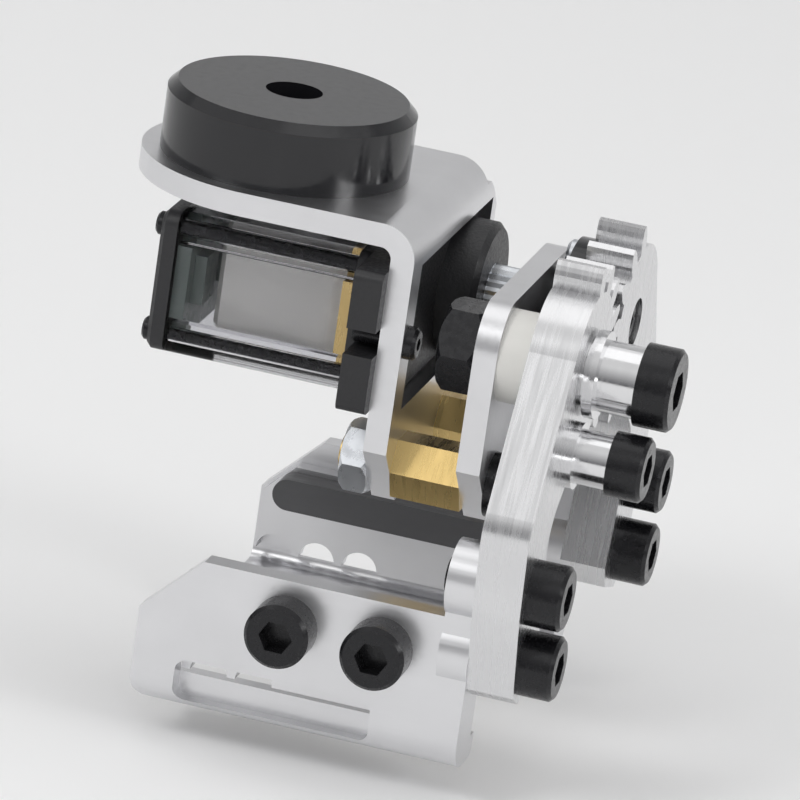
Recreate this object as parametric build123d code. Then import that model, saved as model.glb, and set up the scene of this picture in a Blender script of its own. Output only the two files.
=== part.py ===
"""Two-finger gripper claw for a small robot arm, driven by one micro servo.

The wrist hub is at the origin and the claw hangs down along -Z. +X is the way
the servo's output shaft points, and -Y is the near side. Lengths are in mm.
"""
from build123d import *
import math
import os

# Wrist hub and folded bracket
hub_radius = 10.5
hub_height = 6.0
hub_edge = 0.8
hub_bore_radius = 2.4
hub_bore_depth = 3.6
hub_access_radius = 1.3
hub_screw_circle = 7.4
hub_screw_count = 4
sheet_thickness = 2.0
bracket_bend = 3.0
leg_inner_x = 13.0
leg_drop = 25.0
leg_corner = 5.5
bracket_access_radius = 2.9
wing_half_height = 3.5
wing_wall = 3.1
frame_wall = 1.6
frame_corner = 2.5

# Gears and pivots
gear_module = 1.0
gear_teeth = 16
pressure_angle = 20.0
gear_backlash = 0.12
pivot_drop = 10.0

# Servo
servo_width = 12.2
servo_length = 22.8
servo_shaft_inset = 6.0
servo_below_leg = 20.5
servo_corner = 1.2
cover_thickness = 1.5
case_wall = 1.0
case_post = 2.4
post_inset = 0.3
motor_gap = 0.4
board_gap = 0.15
chip_height = 1.0
upper_case_x = 9.5
upper_case_rise = 1.0
tab_thickness = 2.5
tab_reach = 4.8
tab_slot_width = 2.2
near_tab_screw_reach = 1.7
near_edge_wall = 1.5
far_tab_screw_reach = 2.6
window_gap = 0.2
turret_radius = 5.9
turret_rise = 3.3
shaft_radius = 2.4
shaft_length = 13.7
spline_teeth = 20
spline_depth = 0.2
motor_length = 9.8
motor_round = 5.4
motor_width = 8.0
motor_height = 9.2
endcap_thickness = 1.3
gear_plate_thickness = 1.2
board_thickness = 1.2
sensor_radius = 4.0
sensor_length = 6.0
gland_size = 4.0
gland_reach = 2.0

# Front plate and its posts
standoff_length = 6.0
standoff_across = 5.0
standoff_spacing = 14.0
standoff_drop = 21.6
front_plate_thickness = 2.0
front_plate_top = 4.6
front_plate_far_edge = 13.5
front_plate_round = 4.0

# Fingers
finger_gap = 3.0
finger_thickness = 4.0
finger_width = 7.2
elbow_out = 13.9
elbow_down = 10.4
knee_out = 12.9
knee_down = 17.8
tip_out = 10.2
tip_down = 26.9
finger_bend = 4.0
finger_tip_chamfer = 1.6
upper_screw_out = 9.3
upper_screw_down = 16.4
lower_screw_out = 8.4
lower_screw_down = 22.8

# Horn and pivot fittings
horn_hub_radius = 3.2
horn_web_step = 0.7
horn_disc_radius = 6.2
horn_disc_thickness = 1.8
horn_start_gap = 3.0
tie_screw_circle = 4.7
sleeve_radius = 3.0
sleeve_reach = 4.5
sleeve_shoulder_radius = 3.7
sleeve_shoulder_thickness = 0.9
spacer_radius = 3.9
post_out = 2.8
post_down = 6.3
post_radius = 2.3
post_ring_radius = 2.8
post_ring_thickness = 0.8
post_length = 3.6

# Jaws
jaw_left_x = -2.2
jaw_sheet = 2.0
jaw_face_out = 11.0
jaw_top_down = 19.5
jaw_bottom_down = 33.0
jaw_lip = 6.0
jaw_bend = 3.0
jaw_corner = 5.0
jaw_flange_thickness = 2.6
jaw_flange_round = 3.2
window_left_x = 1.5
window_right_x = 18.4
window_top_down = 28.3
window_height = 3.7
window_round = 1.0
jaw_screw_x = 10.3
jaw_screw_pitch = 8.2
jaw_screw_down = 23.5
grip_plate_thickness = 1.5
grip_plate_left_x = -1.6
grip_plate_corner = 2.6
grip_plate_right_x = 22.0
grip_plate_height = 8.0
scallop_radius = 1.6
scallop_count = 3
scallop_pitch = 3.9
grip_bar_thickness = 2.5
grip_bar_height = 2.8
bar_skin = 0.7
grip_bar_left_x = -0.2
grip_bar_right_x = 21.6

# Fasteners: thread radius, head radius, head height and socket width
m3_radius = 1.5
m3_head_radius = 2.75
m3_head_height = 3.0
m3_socket = 2.5
m3_nut_across = 5.5
m3_nut_height = 2.4
low_head_height = 1.65
m4_radius = 2.0
m4_head_radius = 3.5
m4_head_height = 3.0
m4_socket = 3.0
m4_nut_across = 7.0
m4_nut_height = 3.2
small_radius = 1.0
small_head_radius = 1.8
small_head_height = 1.3
small_socket = 1.3
tab_screw_radius = 0.8
tab_head_radius = 1.4
tab_head_height = 1.0
tab_socket = 1.0
tie_radius = 0.8
tie_head_radius = 1.3
tie_head_height = 0.8
tie_socket = 0.9
tie_thread_reach = 2.7
sunk_head_height = 1.6
thread_reach = 4.0
blind_end = 0.5
tip_past_nut = 0.4
case_screw_radius = 0.6
case_head_radius = 1.0
case_head_height = 0.6

# Clearances
thread_gap = 0.03
hole_gap = 0.1
turning_gap = 0.05
running_gap = 0.3
head_chamfer = 0.3

# Places worked out from the sizes above
bracket_top_z = -hub_height
pivot_z = bracket_top_z - pivot_drop
pivot_y = gear_module * gear_teeth / 2
leg_outer_x = leg_inner_x + sheet_thickness
plate_x = leg_outer_x + standoff_length
plate_front_x = plate_x + front_plate_thickness
finger_x = plate_front_x + finger_gap
finger_front_x = finger_x + finger_thickness
root_radius = pivot_y - 1.25 * gear_module
tip_radius = pivot_y + gear_module
servo_bottom_x = leg_inner_x - servo_below_leg
case_x = servo_bottom_x + cover_thickness
upper_case_top_x = leg_outer_x - upper_case_rise
turret_top_x = upper_case_top_x + turret_rise
servo_far_y = pivot_y + servo_shaft_inset
servo_near_y = servo_far_y - servo_length
servo_mid_y = (servo_far_y + servo_near_y) / 2
near_tab_screw_y = servo_near_y - near_tab_screw_reach
far_tab_screw_y = servo_far_y + far_tab_screw_reach
bracket_width = 2 * (near_edge_wall - near_tab_screw_y)
standoff_z = bracket_top_z - standoff_drop
jaw_inner_out = jaw_face_out - jaw_sheet
jaw_flange_x = finger_x - jaw_flange_thickness
horn_x = turret_top_x + horn_start_gap
web_x = finger_x - horn_disc_thickness - horn_web_step


def along_x(sketch, x_from, x_to):
    """Solid from a sketch drawn in Y and Z, between two X places."""
    return extrude(Plane.YZ.offset(x_from) * sketch, amount=x_to - x_from)


def along_y(sketch, y_from, y_to):
    """Solid from a sketch drawn in X and Z, between two Y places."""
    return extrude(Plane.XZ.offset(-y_from) * sketch, amount=y_from - y_to)


def along_z(sketch, z_from, z_to):
    """Solid from a sketch drawn in X and Y, between two Z places."""
    return extrude(Plane.XY.offset(z_from) * sketch, amount=z_to - z_from)


def box_sketch(left, right, bottom, top):
    """Rectangle between four limits."""
    return Pos((left + right) / 2, (bottom + top) / 2) * Rectangle(right - left, top - bottom)


def round_corner(sketch, corner, radius):
    """Round the one corner of a sketch nearest to the given point."""
    target = Vector(corner[0], corner[1], 0)
    nearest = sketch.vertices().sort_by(lambda vertex: (Vector(*vertex) - target).length)[0]
    return fillet(nearest, radius)


def cut_corner(sketch, corner, length):
    """Chamfer the one corner of a sketch nearest to the given point."""
    target = Vector(corner[0], corner[1], 0)
    nearest = sketch.vertices().sort_by(lambda vertex: (Vector(*vertex) - target).length)[0]
    return chamfer(nearest, length)


def screw(radius, length, head_radius, head_height, socket):
    """Socket-head screw along X: the head's seat is at 0 and the shank runs to -length."""
    head = along_x(Circle(head_radius), 0, head_height)
    head = chamfer(head.edges().sort_by(Axis.X)[-1], head_chamfer)
    socket_depth = head_height * 0.6
    recess = RegularPolygon(socket / 2, 6, major_radius=False)
    head = head - along_x(recess, head_height - socket_depth, head_height)
    return head + along_x(Circle(radius), -length, 0)


def nut(radius, across, height):
    """Hexagon nut along X, from 0 to its height, with chamfered corners."""
    body = along_x(RegularPolygon(across / 2, 6, major_radius=False), 0, height)
    corner_radius = across / math.sqrt(3)
    round_body = along_x(Circle(corner_radius), 0, height)
    round_body = chamfer(round_body.edges().filter_by(GeomType.CIRCLE), (corner_radius - across / 2) * 0.9)
    return (body & round_body) - along_x(Circle(radius), 0, height)


def near(out, up):
    """Y and Z of a point given outward and upward from the near pivot."""
    return (-(pivot_y + out), pivot_z + up)


def far_side(piece):
    """The mirror image of a near piece, for the far finger."""
    return mirror(piece, about=Plane.XZ)


def tooth(angle):
    """One involute gear tooth about the origin, its middle at the given angle in degrees."""
    base_radius = pivot_y * math.cos(math.radians(pressure_angle))
    pressure = math.radians(pressure_angle)
    involute_at_pitch = math.tan(pressure) - pressure
    half_at_pitch = math.pi / (2 * gear_teeth) - gear_backlash / (4 * pivot_y)
    flank = [(root_radius - 0.5, half_at_pitch + involute_at_pitch)]
    for step in range(5):
        radius = base_radius + (tip_radius - base_radius) * step / 4
        here = math.acos(min(1.0, base_radius / radius))
        half = half_at_pitch + involute_at_pitch - (math.tan(here) - here)
        flank.append((radius, half))
    middle = math.radians(angle)
    rising = [(r * math.cos(middle - half), r * math.sin(middle - half)) for r, half in flank]
    falling = [(r * math.cos(middle + half), r * math.sin(middle + half)) for r, half in reversed(flank)]
    return make_face(Polyline(*rising, *falling, close=True))


def gear_sector(tooth_angles):
    """Round boss with teeth at the given angles, as a sketch about the near pivot."""
    sector = Circle(root_radius)
    for angle in tooth_angles:
        sector = sector + tooth(angle)
    return Pos(*near(0, 0)) * sector


def finger_arm():
    """Cranked arm from the boss down to the jaw, as a sketch on the near side."""
    slope = math.atan2(knee_out - tip_out, tip_down - knee_down)
    inward = (-math.cos(slope) * finger_width, math.sin(slope) * finger_width)
    tip_inner = (tip_out + inward[0], -tip_down + inward[1])
    elbow_inner = (elbow_out - finger_width, -elbow_down - 0.2 * finger_width)
    outline = [
        near(root_radius * math.cos(math.radians(38)), root_radius * math.sin(math.radians(38))),
        near(elbow_out, -elbow_down),
        near(knee_out, -knee_down),
        near(tip_out, -tip_down),
        near(*tip_inner),
        near(*elbow_inner),
        near(-root_radius * 0.1, -root_radius * 0.97),
        near(0, 0),
    ]
    arm = make_face(Polyline(*outline, close=True))
    arm = round_corner(arm, near(elbow_out, -elbow_down), finger_bend)
    arm = round_corner(arm, near(*elbow_inner), finger_bend)
    arm = cut_corner(arm, near(tip_out, -tip_down), finger_tip_chamfer)
    arm = cut_corner(arm, near(*tip_inner), finger_tip_chamfer)
    return arm


def finger_blank(tooth_angles):
    """Finger plate with its gear teeth and its two jaw screw holes."""
    outline = gear_sector(tooth_angles) + finger_arm()
    for place in ((upper_screw_out, -upper_screw_down), (lower_screw_out, -lower_screw_down)):
        outline = outline - Pos(*near(*place)) * Circle(m3_radius + hole_gap)
    return along_x(outline, finger_x, finger_front_x)


def follower_finger():
    """Near finger: a running bore for the sleeve and a tapped hole for the post."""
    # Teeth face the far pivot, which is towards +Y; the middle tooth lies on the line of centres.
    pitch = 360 / gear_teeth
    finger = finger_blank([step * pitch for step in range(-2, 5)])
    bore = Pos(*near(0, 0)) * Circle(sleeve_radius + turning_gap)
    post_hole = Pos(*near(post_out, -post_down)) * Circle(m3_radius + thread_gap)
    return finger - along_x(bore + post_hole, finger_x, finger_front_x)


def driven_finger():
    """Far finger: clamped to the horn by a sunk centre screw and two tie screws."""
    pitch = 360 / gear_teeth
    finger = finger_blank([(step + 0.5) * pitch for step in range(-3, 4)])
    middle = Pos(*near(0, 0))
    finger = finger - along_x(middle * Circle(small_radius + hole_gap), finger_x, finger_front_x)
    counterbore = middle * Circle(small_head_radius + hole_gap * 3)
    finger = finger - along_x(counterbore, finger_front_x - finger_thickness / 2, finger_front_x)
    for side in (-1, 1):
        hole = Pos(*near(0, side * tie_screw_circle)) * Circle(tie_radius + thread_gap)
        finger = finger - along_x(hole, finger_x, finger_x + tie_thread_reach + running_gap)
    return far_side(finger)


def jaw():
    """Near jaw: face plate with a window, lip folded inward, and a flange against the finger."""
    face_y = near(jaw_face_out, 0)[0]
    inner_y = near(jaw_inner_out, 0)[0]
    lip_y = face_y + jaw_lip
    top = pivot_z - jaw_top_down
    bottom = pivot_z - jaw_bottom_down
    section = box_sketch(face_y, lip_y, bottom, top) - box_sketch(inner_y, lip_y, bottom + jaw_sheet, top)
    section = round_corner(section, (face_y, bottom), jaw_bend)
    section = round_corner(section, (inner_y, bottom + jaw_sheet), jaw_bend - jaw_sheet)
    section = round_corner(section, (lip_y, bottom), jaw_sheet / 2 - 0.1)
    body = along_x(section, jaw_left_x, finger_x)
    outline = box_sketch(jaw_left_x, finger_x, bottom, top)
    outline = cut_corner(outline, (jaw_left_x, top), jaw_corner)
    outline = round_corner(outline, (jaw_left_x, bottom), jaw_sheet)
    body = body & along_y(outline, face_y, lip_y)
    flange = box_sketch(face_y, near(upper_screw_out - jaw_flange_round, 0)[0],
                        bottom, pivot_z - upper_screw_down)
    flange = flange + Pos(*near(upper_screw_out, -upper_screw_down)) * Circle(jaw_flange_round)
    lower_pad = Pos(*near(lower_screw_out, -lower_screw_down)) * Circle(jaw_flange_round)
    flange = round_corner(flange + lower_pad, (face_y, bottom), jaw_bend)
    body = body + along_x(flange, jaw_flange_x, finger_x)
    for place in ((upper_screw_out, -upper_screw_down), (lower_screw_out, -lower_screw_down)):
        hole = Pos(*near(*place)) * Circle(m3_radius + thread_gap)
        body = body - along_x(hole, jaw_flange_x - 1, finger_x)
    window_top = pivot_z - window_top_down
    window = box_sketch(window_left_x, window_right_x, window_top - window_height, window_top)
    window = fillet(window.vertices(), window_round)
    body = body - along_y(window, face_y, inner_y)
    for place in jaw_screw_places():
        body = body - along_y(Pos(*place) * Circle(m3_radius + hole_gap), face_y, inner_y)
    return body


def jaw_screw_places():
    """X and Z of the two screws through a jaw's face."""
    z = pivot_z - jaw_screw_down
    return [(jaw_screw_x, z), (jaw_screw_x + jaw_screw_pitch, z)]


def grip_plate():
    """Inner plate on a jaw, with half-round notches along its lower edge."""
    back_y = near(jaw_inner_out, 0)[0]
    top = pivot_z - jaw_screw_down + grip_bar_height / 2 + 0.4
    bottom = top - grip_plate_height
    outline = box_sketch(grip_plate_left_x, grip_plate_right_x, bottom, top)
    outline = cut_corner(outline, (grip_plate_left_x, top), grip_plate_corner)
    for step in range(scallop_count):
        place = grip_bar_left_x + 0.2 + step * scallop_pitch
        outline = outline - Pos(place, bottom) * Circle(scallop_radius)
    for place in jaw_screw_places():
        outline = outline - Pos(*place) * Circle(m3_radius + hole_gap)
    return along_y(outline, back_y, back_y + grip_plate_thickness)


def grip_bar():
    """Dark bar that closes on the load, with round ends and two blind tapped holes."""
    back_y = near(jaw_inner_out, 0)[0] + grip_plate_thickness
    length = grip_bar_right_x - grip_bar_left_x
    middle = (grip_bar_right_x + grip_bar_left_x) / 2
    outline = Pos(middle, pivot_z - jaw_screw_down) * SlotOverall(length, grip_bar_height)
    bar = along_y(outline, back_y, back_y + grip_bar_thickness)
    for place in jaw_screw_places():
        hole = Pos(*place) * Circle(m3_radius - 0.5 + thread_gap)
        bar = bar - along_y(hole, back_y, back_y + grip_bar_thickness - bar_skin)
    return bar


def jaw_screws():
    """Two cap screws through a jaw's face and grip plate into the bar."""
    seat_y = near(jaw_face_out, 0)[0]
    stepped = screw(m3_radius, jaw_sheet + grip_plate_thickness - 0.1, m3_head_radius,
                    m3_head_height, m3_socket)
    reach = jaw_sheet + grip_plate_thickness + grip_bar_thickness - bar_skin - 0.3
    stepped = stepped + along_x(Circle(m3_radius - 0.5), -reach, 0)
    return [Pos(x, seat_y, z) * Rot(0, 0, -90) * stepped for x, z in jaw_screw_places()]


def finger_screws():
    """Two cap screws through a finger into the jaw's flange."""
    length = finger_thickness + jaw_flange_thickness + 0.5
    one = screw(m3_radius, length, m3_head_radius, m3_head_height, m3_socket)
    places = [near(upper_screw_out, -upper_screw_down), near(lower_screw_out, -lower_screw_down)]
    return [Pos(finger_front_x, y, z) * one for y, z in places]


def wrist_horn():
    """Round black hub that the wrist servo turns, with a bore for its splined shaft."""
    hub = along_z(Circle(hub_radius), bracket_top_z, 0)
    hub = chamfer(hub.edges().filter_by(GeomType.CIRCLE).sort_by(Axis.Z)[-1], hub_edge)
    hub = hub - along_z(Circle(hub_bore_radius), -hub_bore_depth, 0)
    hub = hub - along_z(Circle(hub_access_radius), bracket_top_z, 0)
    for x, y in hub_screw_places():
        hole = Pos(x, y) * Circle(small_radius + thread_gap)
        hub = hub - along_z(hole, bracket_top_z, bracket_top_z + thread_reach + blind_end)
    return hub


def hub_screw_places():
    """X and Y of the screws that hold the hub to the bracket."""
    turns = [math.radians(45 + 360 * step / hub_screw_count) for step in range(hub_screw_count)]
    return [(hub_screw_circle * math.cos(turn), hub_screw_circle * math.sin(turn)) for turn in turns]


def wrist_horn_screws():
    """Screws from below through the bracket into the hub."""
    one = Rot(0, 90, 0) * screw(small_radius, sheet_thickness + thread_reach, small_head_radius,
                                small_head_height, small_socket)
    seat_z = bracket_top_z - sheet_thickness
    return [Pos(x, y, seat_z) * one for x, y in hub_screw_places()]


def tab_screw_places():
    """Y of the near and the far servo screw."""
    return [near_tab_screw_y, far_tab_screw_y]


def base_bracket():
    """L-shaped sheet: round top leg under the hub, front leg with the servo window."""
    half = bracket_width / 2
    bottom = bracket_top_z - leg_drop
    section = box_sketch(-half, leg_outer_x, bottom, bracket_top_z)
    section = section - box_sketch(-half, leg_inner_x, bottom, bracket_top_z - sheet_thickness)
    section = round_corner(section, (leg_outer_x, bracket_top_z), bracket_bend)
    section = round_corner(section, (leg_inner_x, bracket_top_z - sheet_thickness),
                           bracket_bend - sheet_thickness)
    far_limit = far_tab_screw_y + wing_wall
    body = along_y(section, -half, far_limit)
    plan = Circle(half) + box_sketch(0, leg_outer_x, -half, half)
    leg = box_sketch(-half, half, bottom, bracket_top_z)
    leg = cut_corner(leg, (-half, bottom), leg_corner)
    leg = cut_corner(leg, (half, bottom), leg_corner)
    frame_half = servo_width / 2 + window_gap + frame_wall
    frame_edge = servo_far_y + window_gap + frame_wall
    frame = box_sketch(0, frame_edge, pivot_z - frame_half, pivot_z + frame_half)
    frame = cut_corner(frame, (frame_edge, pivot_z - frame_half), frame_corner)
    frame = cut_corner(frame, (frame_edge, pivot_z + frame_half), frame_corner)
    wing = box_sketch(0, far_limit - wing_half_height, pivot_z - wing_half_height, pivot_z + wing_half_height)
    wing = wing + Pos(far_limit - wing_half_height, pivot_z) * Circle(wing_half_height)
    plan = plan + box_sketch(leg_inner_x, leg_outer_x, 0, far_limit)
    body = body & along_z(plan, bottom, bracket_top_z)
    body = body & along_x(leg + frame + wing, -half, leg_outer_x)
    window = box_sketch(servo_near_y - window_gap, servo_far_y + window_gap,
                        pivot_z - servo_width / 2 - window_gap, pivot_z + servo_width / 2 + window_gap)
    body = body - along_x(window, leg_inner_x, leg_outer_x)
    body = body - along_z(Circle(bracket_access_radius), bracket_top_z - sheet_thickness, bracket_top_z)
    for x, y in hub_screw_places():
        hole = Pos(x, y) * Circle(small_radius + hole_gap)
        body = body - along_z(hole, bracket_top_z - sheet_thickness, bracket_top_z)
    for y in tab_screw_places():
        hole = Pos(y, pivot_z) * Circle(tab_screw_radius + hole_gap)
        body = body - along_x(hole, leg_inner_x, leg_outer_x)
    for side in (-1, 1):
        hole = Pos(side * standoff_spacing / 2, standoff_z) * Circle(m3_radius + hole_gap)
        body = body - along_x(hole, leg_inner_x, leg_outer_x)
    return body


def servo_outline(inset=0.0):
    """Rounded servo section in Y and Z, smaller all round by the inset."""
    section = RectangleRounded(servo_length - 2 * inset, servo_width - 2 * inset, servo_corner)
    return Pos(servo_mid_y, pivot_z) * section


def case_screw_places():
    """Y and Z of the four long screws in the servo's corner posts."""
    reach_y = servo_length / 2 - case_post / 2 - post_inset
    reach_z = servo_width / 2 - case_post / 2 - post_inset
    return [(servo_mid_y + side * reach_y, pivot_z + level * reach_z) for side in (-1, 1) for level in (-1, 1)]


def servo_lower_cover():
    """Black end cover at the servo's left end."""
    cover = along_x(servo_outline(), servo_bottom_x, case_x)
    cover = chamfer(cover.faces().sort_by(Axis.X)[0].edges(), 0.4)
    for y, z in case_screw_places():
        cover = cover - along_x(Pos(y, z) * Circle(case_screw_radius + turning_gap), servo_bottom_x, case_x)
    return cover


def servo_middle_case():
    """Clear sleeve around the motor, with a screw post in each corner."""
    section = servo_outline()
    cavity = Pos(servo_mid_y, pivot_z) * Rectangle(servo_length - 2 * case_wall, servo_width - 2 * case_wall)
    for y, z in case_screw_places():
        cavity = cavity - Pos(y, z) * Circle(case_post / 2 + 0.1)
    section = section - cavity
    for y, z in case_screw_places():
        section = section - Pos(y, z) * Circle(case_screw_radius + turning_gap)
    return along_x(section, case_x, upper_case_x)


def servo_upper_case():
    """Black gear housing with two slotted tabs and a round turret for the shaft."""
    body = along_x(servo_outline(), upper_case_x, upper_case_top_x)
    body = chamfer(body.faces().sort_by(Axis.X)[-1].edges(), 0.4)
    near_y, far_y = tab_screw_places()
    tab = Pos(servo_mid_y, pivot_z) * Rectangle(servo_length + 2 * tab_reach, servo_width)
    tab = fillet(tab.vertices(), 0.8)
    tab = tab - box_sketch(servo_near_y - tab_reach, near_y, pivot_z - tab_slot_width / 2,
                           pivot_z + tab_slot_width / 2)
    tab = tab - box_sketch(far_y, servo_far_y + tab_reach, pivot_z - tab_slot_width / 2,
                           pivot_z + tab_slot_width / 2)
    for y in (near_y, far_y):
        tab = tab - Pos(y, pivot_z) * Circle(tab_slot_width / 2)
    body = body + along_x(tab, leg_inner_x - tab_thickness, leg_inner_x)
    axis_point = Pos(pivot_y, pivot_z)
    turret = along_x(axis_point * Circle(turret_radius), upper_case_top_x - 0.4, turret_top_x)
    body = body + chamfer(turret.edges().filter_by(GeomType.CIRCLE).sort_by(Axis.X)[-1], 0.5)
    body = body - along_x(axis_point * Circle(shaft_radius + turning_gap), upper_case_x, turret_top_x)
    for y, z in case_screw_places():
        body = body - along_x(Pos(y, z) * Circle(case_screw_radius + thread_gap), upper_case_x, leg_inner_x - 1)
    return body


def servo_case_screws():
    """Four long screws that hold cover, clear sleeve and gear housing together."""
    length = leg_inner_x - 1.4 - servo_bottom_x
    shank = along_x(Circle(case_screw_radius), 0, length)
    head = along_x(Circle(case_head_radius), -case_head_height, 0)
    head = chamfer(head.edges().filter_by(GeomType.CIRCLE).sort_by(Axis.X)[0], 0.2)
    return [Pos(servo_bottom_x, y, z) * (shank + head) for y, z in case_screw_places()]


def motor_section():
    """Flat-sided round motor can, as a sketch."""
    middle_y = servo_near_y + post_inset + case_post + motor_gap + motor_width / 2
    can = Circle(motor_round) & Rectangle(motor_width, motor_height)
    return Pos(middle_y, pivot_z) * can


def servo_motor():
    """Motor can, held between its end cap and the clear sleeve."""
    start = upper_case_x - gear_plate_thickness - endcap_thickness - motor_length
    can = along_x(motor_section(), start, start + motor_length)
    return chamfer(can.faces().sort_by(Axis.X)[0].edges(), 0.5)


def servo_motor_endcap():
    """White plastic cap on the motor's gear end."""
    start = upper_case_x - gear_plate_thickness - endcap_thickness
    return along_x(motor_section(), start, start + endcap_thickness)


def servo_gear_plate():
    """Brass plate under the gear train, cut back at the corner posts."""
    inset = case_wall + board_gap
    plate = Rectangle(servo_length - 2 * inset, servo_width - 2 * inset)
    plate = Pos(servo_mid_y, pivot_z) * plate
    for y, z in case_screw_places():
        plate = plate - Pos(y, z) * Circle(case_post / 2 + 0.3)
    return along_x(plate, upper_case_x - gear_plate_thickness, upper_case_x)


def servo_sensor():
    """Round position sensor behind the output shaft."""
    start = upper_case_x - gear_plate_thickness - sensor_length
    return along_x(Pos(pivot_y, pivot_z) * Circle(sensor_radius), start, start + sensor_length)


def servo_board():
    """Control board against the end cover, with two raised chips."""
    inset = case_wall + board_gap
    outline = Pos(servo_mid_y, pivot_z) * Rectangle(servo_length - 2 * inset, servo_width - 2 * inset)
    for y, z in case_screw_places():
        outline = outline - Pos(y, z) * Circle(case_post / 2 + 0.3)
    board = along_x(outline, case_x, case_x + board_thickness)
    for y in (servo_near_y + 4.5, servo_near_y + 12):
        chip = Pos(y, pivot_z) * Rectangle(3.4, 4.2)
        board = board + along_x(chip, case_x, case_x + board_thickness + chip_height)
    return board


def servo_cord_gland():
    """Rubber outlet block on the servo's hidden far end."""
    block = Pos(servo_far_y + gland_reach / 2, pivot_z) * Rectangle(gland_reach, gland_size)
    return along_x(block, case_x + 1, case_x + 1 + gland_size)


def servo_tab_screws():
    """Two screws through the bracket into the servo's tabs, heads on the claw side."""
    one = screw(tab_screw_radius, sheet_thickness + tab_thickness, tab_head_radius, tab_head_height, tab_socket)
    return [Pos(leg_outer_x, y, pivot_z) * one for y in tab_screw_places()]


def standoff_places():
    """Y and Z of the two posts between bracket and front plate."""
    return [(side * standoff_spacing / 2, standoff_z) for side in (-1, 1)]


def front_plate_standoffs():
    """Brass hexagon posts with a stud through the bracket and a tapped front end."""
    body = along_x(RegularPolygon(standoff_across / 2, 6, major_radius=False), leg_outer_x, plate_x)
    stud = along_x(Circle(m3_radius), leg_inner_x - m3_nut_height - tip_past_nut, leg_outer_x)
    body = body + stud
    body = body - along_x(Circle(m3_radius + thread_gap), plate_x - thread_reach - blind_end, plate_x)
    return [Pos(0, y, z) * body for y, z in standoff_places()]


def standoff_nuts():
    """Steel nuts on the standoffs' studs, against the bracket's inner face."""
    one = nut(m3_radius + thread_gap, m3_nut_across, m3_nut_height)
    return [Pos(leg_inner_x - m3_nut_height, y, z) * one for y, z in standoff_places()]


def front_plate_screws():
    """Low-head screws through the front plate into the standoffs."""
    one = screw(m3_radius, front_plate_thickness + thread_reach, m3_head_radius, low_head_height, m3_socket)
    return [Pos(plate_front_x, y, z) * one for y, z in standoff_places()]


def front_plate():
    """Thin plate that carries the near pivot and lets the horn through."""
    half = bracket_width / 2
    bottom = bracket_top_z - leg_drop
    top = pivot_z + front_plate_top
    outline = box_sketch(-half, front_plate_far_edge, bottom, top)
    outline = cut_corner(outline, (-half, bottom), leg_corner)
    outline = cut_corner(outline, (front_plate_far_edge, bottom), leg_corner)
    outline = round_corner(outline, (-half, top), front_plate_round)
    outline = round_corner(outline, (front_plate_far_edge, top), front_plate_round)
    outline = outline - Pos(-pivot_y, pivot_z) * Circle(m4_radius + hole_gap)
    outline = outline - Pos(pivot_y, pivot_z) * Circle(horn_hub_radius + 2 * hole_gap)
    for place in standoff_places():
        outline = outline - Pos(*place) * Circle(m3_radius + hole_gap)
    return along_x(outline, plate_x, plate_front_x)


def pivot_sleeve():
    """Polished sleeve that the near finger turns on, with a shoulder outside the finger."""
    outer_end = finger_front_x + sleeve_reach
    sleeve = along_x(Circle(sleeve_radius), plate_front_x, outer_end)
    shoulder_start = finger_front_x + running_gap
    sleeve = sleeve + along_x(Circle(sleeve_shoulder_radius), shoulder_start,
                              shoulder_start + sleeve_shoulder_thickness)
    sleeve = sleeve - along_x(Circle(m4_radius + turning_gap), plate_front_x, outer_end)
    return Pos(0, -pivot_y, pivot_z) * sleeve


def pivot_spacer():
    """Ring between the front plate and the near finger."""
    ring = Circle(spacer_radius) - Circle(sleeve_radius + turning_gap)
    return Pos(0, -pivot_y, pivot_z) * along_x(ring, plate_front_x, finger_x - running_gap)


def pivot_screw():
    """Cap screw through sleeve and front plate."""
    seat = finger_front_x + sleeve_reach
    length = seat - plate_x + m4_nut_height + tip_past_nut
    one = screw(m4_radius, length, m4_head_radius, m4_head_height, m4_socket)
    return Pos(seat, -pivot_y, pivot_z) * one


def pivot_nut():
    """Black nut behind the front plate."""
    one = nut(m4_radius + thread_gap, m4_nut_across, m4_nut_height)
    return Pos(plate_x - m4_nut_height, -pivot_y, pivot_z) * one


def output_shaft():
    """Steel servo shaft with a splined end inside the horn."""
    shaft = along_x(Circle(shaft_radius), web_x - shaft_length, turret_top_x)
    points = []
    for step in range(spline_teeth * 2):
        radius = shaft_radius - spline_depth * (step % 2)
        turn = math.pi * step / spline_teeth
        points.append((radius * math.cos(turn), radius * math.sin(turn)))
    spline = make_face(Polyline(*points, close=True))
    shaft = shaft + along_x(spline, turret_top_x, web_x)
    shaft = shaft - along_x(Circle(small_radius + thread_gap), web_x - thread_reach - blind_end, web_x)
    return Pos(0, pivot_y, pivot_z) * shaft


def drive_horn():
    """Black servo horn: a hub on the spline and a disc against the far finger."""
    disc_x = finger_x - horn_disc_thickness
    horn = along_x(Circle(horn_hub_radius), horn_x, disc_x)
    horn = horn + along_x(Circle(horn_disc_radius), disc_x, finger_x)
    horn = horn - along_x(Circle(shaft_radius + turning_gap), horn_x, web_x)
    horn = horn - along_x(Circle(small_radius + hole_gap), web_x, finger_x)
    for side in (-1, 1):
        hole = Pos(0, side * tie_screw_circle) * Circle(tie_radius + hole_gap)
        horn = horn - along_x(hole, disc_x, finger_x)
    return Pos(0, pivot_y, pivot_z) * horn


def horn_centre_screw():
    """Screw sunk in the far finger that clamps finger and horn to the shaft."""
    seat = finger_front_x - finger_thickness / 2
    one = screw(small_radius, seat - web_x + thread_reach, small_head_radius, sunk_head_height, small_socket)
    return Pos(seat, pivot_y, pivot_z) * one


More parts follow.
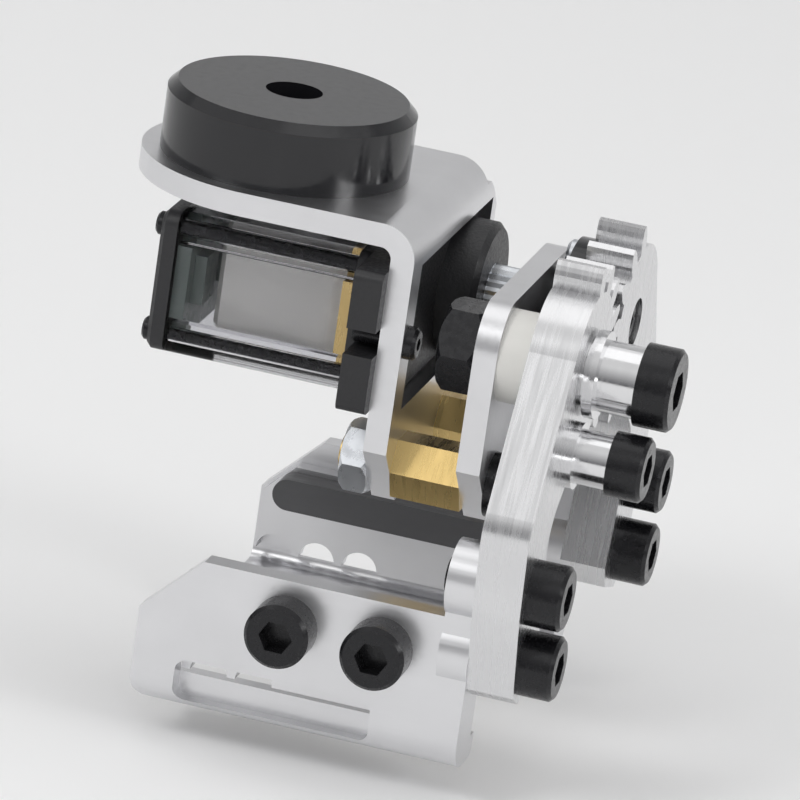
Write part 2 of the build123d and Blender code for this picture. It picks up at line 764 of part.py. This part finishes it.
def horn_tie_screws():
    """Two small screws from the horn's disc into the far finger."""
    seat = finger_x - horn_disc_thickness
    one = screw(tie_radius, horn_disc_thickness + tie_thread_reach, tie_head_radius, tie_head_height, tie_socket)
    one = Rot(0, 0, 180) * one
    return [Pos(seat, pivot_y, pivot_z + side * tie_screw_circle) * one for side in (-1, 1)]


def follower_post():
    """Short polished post on the near finger, with a ring at its foot."""
    y, z = near(post_out, -post_down)
    post = Circle(post_radius) - Circle(m3_radius + turning_gap)
    body = along_x(post, finger_front_x, finger_front_x + post_length)
    ring = Circle(post_ring_radius) - Circle(m3_radius + turning_gap)
    return Pos(0, y, z) * (body + along_x(ring, finger_front_x, finger_front_x + post_ring_thickness))


def follower_post_screw():
    """Cap screw through the post into the near finger."""
    y, z = near(post_out, -post_down)
    one = screw(m3_radius, post_length + finger_thickness - 0.2, m3_head_radius, m3_head_height, m3_socket)
    return Pos(finger_front_x + post_length, y, z) * one


def mirrored(pieces):
    """Far-side copies of one piece or of a list of pieces."""
    if isinstance(pieces, list):
        return [far_side(piece) for piece in pieces]
    return far_side(pieces)


nodes = {
    "wrist_horn": wrist_horn(),
    "wrist_horn_screws": wrist_horn_screws(),
    "base_bracket": base_bracket(),
    "servo_lower_cover": servo_lower_cover(),
    "servo_middle_case": servo_middle_case(),
    "servo_upper_case": servo_upper_case(),
    "servo_case_screws": servo_case_screws(),
    "servo_motor": servo_motor(),
    "servo_motor_endcap": servo_motor_endcap(),
    "servo_gear_plate": servo_gear_plate(),
    "servo_sensor": servo_sensor(),
    "servo_board": servo_board(),
    "servo_cord_gland": servo_cord_gland(),
    "servo_tab_screws": servo_tab_screws(),
    "front_plate_standoffs": front_plate_standoffs(),
    "standoff_nuts": standoff_nuts(),
    "front_plate_screws": front_plate_screws(),
    "front_plate": front_plate(),
    "pivot_sleeve": pivot_sleeve(),
    "pivot_spacer": pivot_spacer(),
    "pivot_screw": pivot_screw(),
    "pivot_nut": pivot_nut(),
    "output_shaft": output_shaft(),
    "drive_horn": drive_horn(),
    "driven_finger": driven_finger(),
    "driven_jaw": mirrored(jaw()),
    "driven_grip_plate": mirrored(grip_plate()),
    "driven_grip_bar": mirrored(grip_bar()),
    "driven_jaw_screws": mirrored(jaw_screws()),
    "driven_finger_screws": mirrored(finger_screws()),
    "horn_centre_screw": horn_centre_screw(),
    "horn_tie_screws": horn_tie_screws(),
    "follower_finger": follower_finger(),
    "follower_jaw": jaw(),
    "follower_grip_plate": grip_plate(),
    "follower_grip_bar": grip_bar(),
    "follower_jaw_screws": jaw_screws(),
    "follower_finger_screws": finger_screws(),
    "follower_post": follower_post(),
    "follower_post_screw": follower_post_screw(),
}

os.makedirs("parts", exist_ok=True)
for name, shape in nodes.items():
    solids = []
    for piece in shape if isinstance(shape, list) else [shape]:
        solids.extend(piece.solids())
    export_step(solids[0] if len(solids) == 1 else Compound(children=solids), f"parts/{name}.step")
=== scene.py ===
import math
import bpy
from mathutils import Matrix, Vector


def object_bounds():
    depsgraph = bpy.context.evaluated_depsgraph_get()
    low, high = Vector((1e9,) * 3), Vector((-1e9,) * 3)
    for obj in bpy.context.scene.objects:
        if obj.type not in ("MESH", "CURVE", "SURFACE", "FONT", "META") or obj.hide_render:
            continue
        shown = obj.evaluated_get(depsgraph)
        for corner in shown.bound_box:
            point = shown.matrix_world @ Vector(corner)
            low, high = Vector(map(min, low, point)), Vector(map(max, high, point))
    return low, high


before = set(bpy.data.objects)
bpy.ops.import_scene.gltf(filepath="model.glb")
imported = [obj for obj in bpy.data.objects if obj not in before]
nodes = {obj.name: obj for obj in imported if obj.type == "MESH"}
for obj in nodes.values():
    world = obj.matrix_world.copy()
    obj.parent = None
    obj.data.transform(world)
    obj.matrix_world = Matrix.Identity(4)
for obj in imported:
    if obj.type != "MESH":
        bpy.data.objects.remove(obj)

cad_low, cad_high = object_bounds()

# Camera
# Looks from the near side, a little from the right and above, and rolled as in the photograph.
azimuth = math.radians(12.8)
elevation = math.radians(18.0)
roll = math.radians(-8.4)
distance = 0.62
view_width = 0.067
middle = (cad_low + cad_high) / 2
toward = Vector((math.sin(azimuth) * math.cos(elevation),
                 -math.cos(azimuth) * math.cos(elevation),
                 math.sin(elevation)))
camera = bpy.data.objects.new("camera", bpy.data.cameras.new("camera"))
bpy.context.scene.collection.objects.link(camera)
camera.data.sensor_width = 36.0
camera.data.lens = 36.0 * distance / view_width
facing = (-toward).to_track_quat("-Z", "Y").to_matrix().to_4x4()
place = middle + toward * distance
camera.matrix_world = Matrix.Translation(place) @ facing @ Matrix.Rotation(-roll, 4, "Z")
camera.data.clip_start = 0.01
bpy.context.scene.camera = camera

# Studio: pale floor, bright room and soft lights
# The floor runs back and curves up into a white backdrop, as in a product photograph.
# The claw hangs from its wrist, so the floor lies just below the lowest point of the model as
# loaded.
hang_clearance = 0.003
floor_z = cad_low.z - hang_clearance
floor_front = -1.2
curve_start = 0.5
curve_radius = 0.3
curve_steps = 12
backdrop_top = 1.6
half_width = 2.5
rows = [(floor_front, 0.0), (curve_start, 0.0)]
for step in range(1, curve_steps + 1):
    turn = math.pi / 2 * step / curve_steps
    rows.append((curve_start + curve_radius * math.sin(turn),
                 curve_radius - curve_radius * math.cos(turn)))
rows.append((curve_start + curve_radius, backdrop_top))
verts = [(side, y, floor_z + z) for y, z in rows for side in (-half_width, half_width)]
faces = [(2 * i, 2 * i + 1, 2 * i + 3, 2 * i + 2) for i in range(len(rows) - 1)]
floor_mesh = bpy.data.meshes.new("studio_floor")
floor_mesh.from_pydata(verts, [], faces)
for polygon in floor_mesh.polygons:
    polygon.use_smooth = True
floor = bpy.data.objects.new("studio_floor", floor_mesh)
bpy.context.scene.collection.objects.link(floor)
floor_material = bpy.data.materials.new("studio_floor")
floor_material.use_nodes = True
floor_shader = floor_material.node_tree.nodes["Principled BSDF"]
floor_shader.inputs["Base Color"].default_value = (0.93, 0.93, 0.93, 1)
floor_shader.inputs["Roughness"].default_value = 0.7
floor_mesh.materials.append(floor_material)

world = bpy.data.worlds.new("studio")
world.use_nodes = True
sky = world.node_tree
sky_place = sky.nodes.new("ShaderNodeTexCoord")
sky_split = sky.nodes.new("ShaderNodeSeparateXYZ")
sky_ramp = sky.nodes.new("ShaderNodeValToRGB")
sky_ramp.color_ramp.elements[0].position = 0.0
sky_ramp.color_ramp.elements[0].color = (0.16, 0.16, 0.17, 1)
sky_ramp.color_ramp.elements[1].position = 0.75
sky_ramp.color_ramp.elements[1].color = (1.0, 1.0, 1.0, 1)
sky.links.new(sky_place.outputs["Generated"], sky_split.inputs[0])
sky.links.new(sky_split.outputs["Z"], sky_ramp.inputs["Fac"])
sky.links.new(sky_ramp.outputs["Color"], sky.nodes["Background"].inputs["Color"])
sky.nodes["Background"].inputs["Strength"].default_value = 0.75
bpy.context.scene.world = world


def soft_light(name, spot, aim, size, power):
    """Square area light at a spot, turned towards its aim."""
    data = bpy.data.lights.new(name, "AREA")
    data.size = size
    data.energy = power
    light = bpy.data.objects.new(name, data)
    bpy.context.scene.collection.objects.link(light)
    light.location = spot
    light.rotation_euler = (Vector(aim) - Vector(spot)).to_track_quat("-Z", "Y").to_euler()


soft_light("key", (-0.35, -0.45, 0.45), middle, 0.22, 1.3)
soft_light("side", (0.55, -0.15, 0.20), middle, 0.16, 0.7)
soft_light("top", (0.05, 0.10, 0.60), middle, 0.60, 0.6)
soft_light("low_front", (0.10, -0.60, -0.02), middle, 0.12, 0.18)

bpy.context.scene.view_settings.view_transform = "Standard"


def new_material(name, color, metallic, roughness):
    """Material with its plain constants set; returns it with its tree and main shader."""
    material = bpy.data.materials.new(name)
    material.use_nodes = True
    tree = material.node_tree
    shader = tree.nodes["Principled BSDF"]
    shader.inputs["Base Color"].default_value = (*color, 1)
    shader.inputs["Metallic"].default_value = metallic
    shader.inputs["Roughness"].default_value = roughness
    return material, tree, shader


def streaks_group():
    """Node group: fine streaks and soft cloudiness in object space, as a mask from 0 to 1."""
    group = bpy.data.node_groups.new("streaks", "ShaderNodeTree")
    group.interface.new_socket(name="Stretch", in_out="INPUT", socket_type="NodeSocketVector")
    group.interface.new_socket(name="Streaks", in_out="OUTPUT", socket_type="NodeSocketFloat")
    group.interface.new_socket(name="Clouds", in_out="OUTPUT", socket_type="NodeSocketFloat")
    entry = group.nodes.new("NodeGroupInput")
    leave = group.nodes.new("NodeGroupOutput")
    coordinates = group.nodes.new("ShaderNodeTexCoord")
    stretch = group.nodes.new("ShaderNodeVectorMath")
    stretch.operation = "MULTIPLY"
    group.links.new(coordinates.outputs["Object"], stretch.inputs[0])
    group.links.new(entry.outputs["Stretch"], stretch.inputs[1])
    fine = group.nodes.new("ShaderNodeTexNoise")
    fine.inputs["Scale"].default_value = 1.0
    fine.inputs["Detail"].default_value = 4.0
    group.links.new(stretch.outputs["Vector"], fine.inputs["Vector"])
    clouds = group.nodes.new("ShaderNodeTexNoise")
    clouds.inputs["Scale"].default_value = 140.0
    clouds.inputs["Detail"].default_value = 3.0
    group.links.new(coordinates.outputs["Object"], clouds.inputs["Vector"])
    group.links.new(fine.outputs[0], leave.inputs["Streaks"])
    group.links.new(clouds.outputs[0], leave.inputs["Clouds"])
    return group


streaks = streaks_group()


def add_finish(tree, shader, stretch, rough_low, rough_high, depth):
    """Streaks drive roughness and a fine bump, and clouds shade the colour a little."""
    marks = tree.nodes.new("ShaderNodeGroup")
    marks.node_tree = streaks
    marks.inputs["Stretch"].default_value = stretch
    spread = tree.nodes.new("ShaderNodeMapRange")
    spread.inputs["From Min"].default_value = 0.3
    spread.inputs["From Max"].default_value = 0.7
    spread.inputs["To Min"].default_value = rough_low
    spread.inputs["To Max"].default_value = rough_high
    tree.links.new(marks.outputs["Streaks"], spread.inputs["Value"])
    tree.links.new(spread.outputs["Result"], shader.inputs["Roughness"])
    bump = tree.nodes.new("ShaderNodeBump")
    bump.inputs["Strength"].default_value = 1.0
    bump.inputs["Distance"].default_value = depth
    tree.links.new(marks.outputs["Streaks"], bump.inputs["Height"])
    tree.links.new(bump.outputs["Normal"], shader.inputs["Normal"])
    tint(tree, shader, marks)
    return marks


cloud_shade = 0.86


def tint(tree, shader, marks):
    """Lets the clouds darken the base colour a little in soft patches."""
    base = shader.inputs["Base Color"].default_value[:]
    mix = tree.nodes.new("ShaderNodeMix")
    mix.data_type = "RGBA"
    mix.inputs["A"].default_value = tuple(cloud_shade * value for value in base[:3]) + (1,)
    mix.inputs["B"].default_value = base
    tree.links.new(marks.outputs["Clouds"], mix.inputs["Factor"])
    tree.links.new(mix.outputs["Result"], shader.inputs["Base Color"])


def dress(material, names, bevel=0.0):
    """Gives CAD nodes their finish and, on metal, a small worn edge."""
    for name in names:
        piece = nodes[name]
        piece.data.materials.clear()
        piece.data.materials.append(material)
        for polygon in piece.data.polygons:
            polygon.material_index = 0
        if bevel:
            edge = piece.modifiers.new("worn_edge", "BEVEL")
            edge.width = bevel
            edge.segments = 2
            edge.limit_method = "ANGLE"
            edge.angle_limit = math.radians(35)
            edge.harden_normals = True


# Bracket, front plate and jaws
# Folded aluminium sheet, cut flat and bent, with a satin brushed face and bright cut edges.
sheet_color = (0.80, 0.80, 0.815)
sheet_worn_edge = 0.00015
brush_depth = 0.0000014
brushed_along_x = (150.0, 4200.0, 4200.0)
brushed_along_z = (4200.0, 4200.0, 150.0)
sheet, tree, shader = new_material("satin_sheet", sheet_color, 1.0, 0.3)
add_finish(tree, shader, brushed_along_x, 0.28, 0.36, brush_depth)
dress(sheet, ["base_bracket", "driven_jaw", "follower_jaw",
              "driven_grip_plate", "follower_grip_plate"], sheet_worn_edge)
upright, tree, shader = new_material("upright_sheet", sheet_color, 1.0, 0.3)
add_finish(tree, shader, brushed_along_z, 0.28, 0.36, brush_depth)
dress(upright, ["front_plate"], sheet_worn_edge)

# Fingers
# Cut from 4 mm aluminium plate. Fine linishing marks run down the length of the cut edge,
# and straight down the flat faces, so their direction depends on which way a face looks.
along_cut_edge = (3600.0, 150.0, 150.0)
down_flat_face = (150.0, 3000.0, 150.0)
flat_face_limit = 0.7
milled, tree, shader = new_material("milled_plate", (0.76, 0.76, 0.77), 1.0, 0.26)
marks = add_finish(tree, shader, along_cut_edge, 0.2, 0.32, 0.0000015)
surface = tree.nodes.new("ShaderNodeNewGeometry")
split = tree.nodes.new("ShaderNodeSeparateXYZ")
sideways = tree.nodes.new("ShaderNodeMath")
sideways.operation = "ABSOLUTE"
flat = tree.nodes.new("ShaderNodeMath")
flat.operation = "GREATER_THAN"
flat.inputs[1].default_value = flat_face_limit
direction = tree.nodes.new("ShaderNodeMix")
direction.data_type = "VECTOR"
direction.inputs[4].default_value = along_cut_edge
direction.inputs[5].default_value = down_flat_face
tree.links.new(surface.outputs["True Normal"], split.inputs[0])
tree.links.new(split.outputs["X"], sideways.inputs[0])
tree.links.new(sideways.outputs[0], flat.inputs[0])
tree.links.new(flat.outputs[0], direction.inputs[0])
tree.links.new(direction.outputs[1], marks.inputs["Stretch"])
dress(milled, ["driven_finger", "follower_finger"], 0.00018)

# Pivot sleeve and post
# Turned and polished steel, with faint lathe lines round the axis.
polished, tree, shader = new_material("polished_steel", (0.82, 0.82, 0.83), 1.0, 0.12)
add_finish(tree, shader, (4000.0, 60.0, 60.0), 0.1, 0.2, 0.0000015)
dress(polished, ["pivot_sleeve", "follower_post"], 0.00012)

# Bright fasteners and the splined shaft
# Zinc-plated steel with a slight haze.
bright, tree, shader = new_material("zinc_steel", (0.66, 0.68, 0.71), 1.0, 0.28)
add_finish(tree, shader, (700.0, 700.0, 700.0), 0.2, 0.38, 0.00001)
dress(bright, ["standoff_nuts", "output_shaft", "horn_tie_screws"], 0.00006)

# Black cap screws and the pivot nut
# Steel blackened in oil, dark with a soft sheen on the edges.
oxide, tree, shader = new_material("black_oxide", (0.014, 0.014, 0.016), 0.35, 0.3)
add_finish(tree, shader, (1900.0, 1900.0, 1900.0), 0.2, 0.32, 0.0000018)
dress(oxide, ["servo_tab_screws", "wrist_horn_screws", "servo_case_screws",
              "front_plate_screws", "pivot_screw", "pivot_nut",
              "driven_jaw_screws", "driven_finger_screws", "horn_centre_screw",
              "follower_jaw_screws", "follower_finger_screws", "follower_post_screw"], 0.00008)

# Brass posts
# Turned brass hexagon bar between bracket and front plate.
brass, tree, shader = new_material("brass", (0.80, 0.58, 0.24), 1.0, 0.3)
add_finish(tree, shader, (2400.0, 300.0, 300.0), 0.22, 0.36, 0.000003)
dress(brass, ["front_plate_standoffs", "servo_gear_plate"], 0.00008)

# Wrist hub and drive horn
# Glossy black moulded plastic with a faint skin texture.
hub_black, tree, shader = new_material("hub_plastic", (0.012, 0.012, 0.014), 0.0, 0.2)
add_finish(tree, shader, (1500.0, 1500.0, 1500.0), 0.08, 0.22, 0.000003)
dress(hub_black, ["wrist_horn", "drive_horn"], 0.0002)

# Servo's black ends
# Moulded plastic with a fine matt grain.
case_black, tree, shader = new_material("case_plastic", (0.018, 0.018, 0.02), 0.0, 0.4)
add_finish(tree, shader, (4200.0, 4200.0, 4200.0), 0.34, 0.55, 0.00003)
dress(case_black, ["servo_lower_cover", "servo_upper_case", "servo_sensor"], 0.0002)

# Servo's clear sleeve
# Smoke-grey clear plastic that shows the motor and board inside.
clear, tree, shader = new_material("smoke_clear", (0.80, 0.80, 0.82), 0.0, 0.06)
shader.inputs["Transmission Weight"].default_value = 1.0
shader.inputs["IOR"].default_value = 1.2
haze = tree.nodes.new("ShaderNodeGroup")
haze.node_tree = streaks
haze.inputs["Stretch"].default_value = (600.0, 600.0, 600.0)
haze_range = tree.nodes.new("ShaderNodeMapRange")
haze_range.inputs["To Min"].default_value = 0.02
haze_range.inputs["To Max"].default_value = 0.12
tree.links.new(haze.outputs["Clouds"], haze_range.inputs["Value"])
tree.links.new(haze_range.outputs["Result"], shader.inputs["Roughness"])
dress(clear, ["servo_middle_case"])

# Motor can, its end cap and the control board
# Nickel-plated can, white nylon cap and a green varnished board.
can, tree, shader = new_material("motor_can", (0.80, 0.79, 0.75), 0.35, 0.4)
add_finish(tree, shader, (400.0, 1800.0, 1800.0), 0.3, 0.46, 0.00001)
dress(can, ["servo_motor"], 0.0001)
nylon, tree, shader = new_material("white_nylon", (0.84, 0.83, 0.79), 0.0, 0.4)
add_finish(tree, shader, (1200.0, 1200.0, 1200.0), 0.34, 0.5, 0.00001)
dress(nylon, ["servo_motor_endcap", "pivot_spacer"], 0.0001)
board, tree, shader = new_material("circuit_board", (0.20, 0.24, 0.22), 0.0, 0.35)
add_finish(tree, shader, (1500.0, 1500.0, 1500.0), 0.25, 0.5, 0.00003)
dress(board, ["servo_board"])

# Grip bars and cord outlet
# Hard-coated dark grey bars, and a block of black rubber.
bar_grey, tree, shader = new_material("hard_coat", (0.105, 0.105, 0.11), 0.3, 0.42)
add_finish(tree, shader, (500.0, 2500.0, 2500.0), 0.36, 0.54, 0.00002)
dress(bar_grey, ["driven_grip_bar", "follower_grip_bar"], 0.0002)
rubber, tree, shader = new_material("rubber", (0.02, 0.02, 0.02), 0.0, 0.7)
add_finish(tree, shader, (2500.0, 2500.0, 2500.0), 0.6, 0.8, 0.00004)
dress(rubber, ["servo_cord_gland"], 0.0003)
